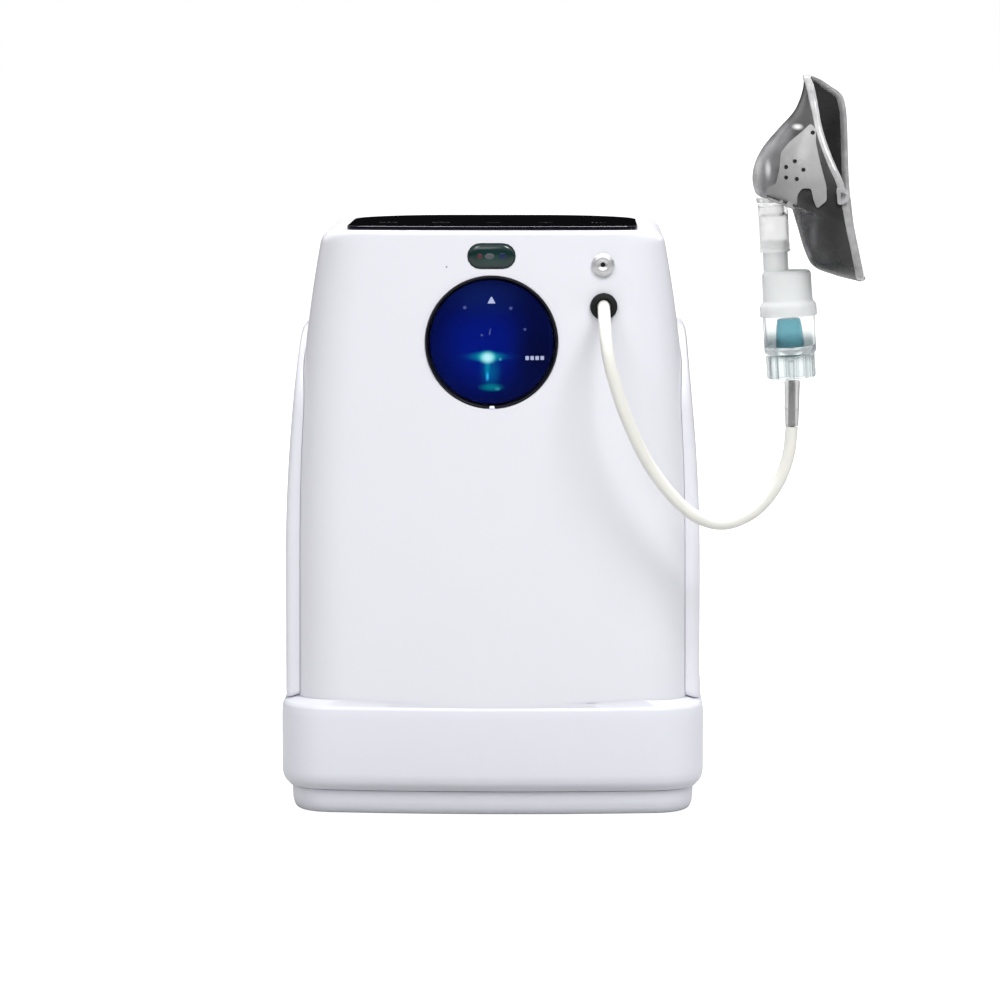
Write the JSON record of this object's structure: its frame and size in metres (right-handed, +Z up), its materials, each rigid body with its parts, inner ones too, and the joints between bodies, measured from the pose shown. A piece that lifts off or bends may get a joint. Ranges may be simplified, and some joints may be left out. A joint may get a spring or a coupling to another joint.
{
  "type": "oxygen concentrator",
  "caption": "Small home oxygen concentrator: white cabinet with touch-panel roof, round blue water window, ports and a hose to a nebulizer with face mask.",
  "frame": {"origin": "bottom centre of the cabinet, on the table under its four feet", "axes": "+Z up, the front face and window look along -Y, +X is to the right of someone facing the front"},
  "size_m": [0.3404, 0.2672, 0.4331],
  "materials": {
    "white_plastic": "glossy moulded ABS",
    "black_glass": "black glass touch surface",
    "black_plastic": "satin",
    "blue_window": "deep blue transparent, polished",
    "clear_plastic": "clear",
    "frosted_plastic": "frosted, translucent",
    "blue_plastic": "translucent blue",
    "green_lens": "dark green, polished",
    "rubber": "matte",
    "hose_rubber": "smooth soft PVC",
    "steel": "satin",
    "aluminium": "satin",
    "foam": "open-cell foam",
    "filter_paper": "pleated paper",
    "circuit_board": "satin",
    "grey_plastic": "satin"
  },
  "bodies": {
    "cabinet": {"front_shell": "white_plastic", "rear_shell": "white_plastic", "side_cover_left": "white_plastic", "side_cover_right": "white_plastic", "lower_band": "white_plastic", "base_tray": "white_plastic", "touch_panel": "black_glass", "window_ring": "black_plastic", "power_inlet": "black_plastic", "switch_bezel": "black_plastic", "breaker_body": "black_plastic", "fan_frame": "black_plastic", "solenoid_left": "black_plastic", "solenoid_right": "black_plastic", "nebulizer_cup": "clear_plastic", "nebulizer_baffle": "blue_plastic", "ir_lens": "green_lens", "hose_grommet": "rubber", "foot_1": "rubber", "foot_2": "rubber", "foot_3": "rubber", "foot_4": "rubber", "compressor_mount_1": "rubber", "compressor_mount_2": "rubber", "compressor_mount_3": "rubber", "compressor_mount_4": "rubber", "hose": "hose_rubber", "oxygen_outlet": "steel", "hose_barb": "steel", "case_screw_1": "steel", "case_screw_2": "steel", "case_screw_3": "steel", "case_screw_4": "steel", "chassis_shelf": "steel", "blank_plate": "aluminium", "compressor_body": "aluminium", "compressor_head_left": "aluminium", "compressor_head_right": "aluminium", "sieve_column_left": "aluminium", "sieve_column_right": "aluminium", "valve_manifold": "aluminium", "power_supply": "aluminium", "foam_filter": "foam", "hepa_filter": "filter_paper", "panel_board": "circuit_board", "control_board": "circuit_board", "cup_cradle": "grey_plastic", "hose_connector": "grey_plastic", "grip_pocket": "grey_plastic", "oxygen_tank": "grey_plastic"},
    "water_cup": {"humidifier_cup": "clear_plastic"},
    "window_lid": {"window_cover": "blue_window"},
    "filter_hatch": {"filter_door": "white_plastic"},
    "compressor_impeller": {"compressor_fan": "grey_plastic"},
    "exhaust_impeller": {"fan_rotor": "black_plastic"},
    "power_rocker": {"switch_rocker": "black_plastic"},
    "breaker_reset": {"breaker_button": "black_plastic"},
    "nebulizer_top": {"nebulizer_cap": "frosted_plastic", "mask_collar": "frosted_plastic"},
    "face_mask": {"mask_shell": "clear_plastic"}
  },
  "joints": [
    {"name": "cup_slide", "type": "slide", "parent": "cabinet", "child": "water_cup", "axis": [0, -1, 0], "range_m": [0, 0.08]},
    {"name": "window_twist", "type": "hinge", "parent": "water_cup", "child": "window_lid", "pos_m": [0, -0.1, 0.2786], "axis": [0, -1, 0], "range_deg": [0, 30]},
    {"name": "filter_door_hinge", "type": "hinge", "parent": "cabinet", "child": "filter_hatch", "pos_m": [-0.03975, 0.09995, 0.225], "axis": [0, 0, 1], "range_deg": [0, 90]},
    {"name": "compressor_spin", "type": "hinge", "parent": "cabinet", "child": "compressor_impeller", "pos_m": [0.0866, 0, 0.068], "axis": [1, 0, 0], "continuous": true},
    {"name": "exhaust_spin", "type": "hinge", "parent": "cabinet", "child": "exhaust_impeller", "pos_m": [0.048, 0.088, 0.112], "axis": [0, -1, 0], "continuous": true},
    {"name": "power_rock", "type": "hinge", "parent": "cabinet", "child": "power_rocker", "pos_m": [-0.025, 0.1022, 0.1], "axis": [1, 0, 0], "range_deg": [0, 18]},
    {"name": "breaker_press", "type": "slide", "parent": "cabinet", "child": "breaker_reset", "axis": [0, -1, 0], "range_m": [0, 0.0025], "stiffness_N_per_m": 300},
    {"name": "nebulizer_twist", "type": "hinge", "parent": "cabinet", "child": "nebulizer_top", "pos_m": [0.1733, -0.115, 0.2588], "axis": [-0.0576, 0, 0.9983], "range_deg": [0, 30]},
    {"name": "mask_swivel", "type": "hinge", "parent": "nebulizer_top", "child": "face_mask", "pos_m": [0.16181, -0.115, 0.3573], "axis": [-0.0576, 0, 0.9983], "range_deg": [-90, 90]}
  ]
}
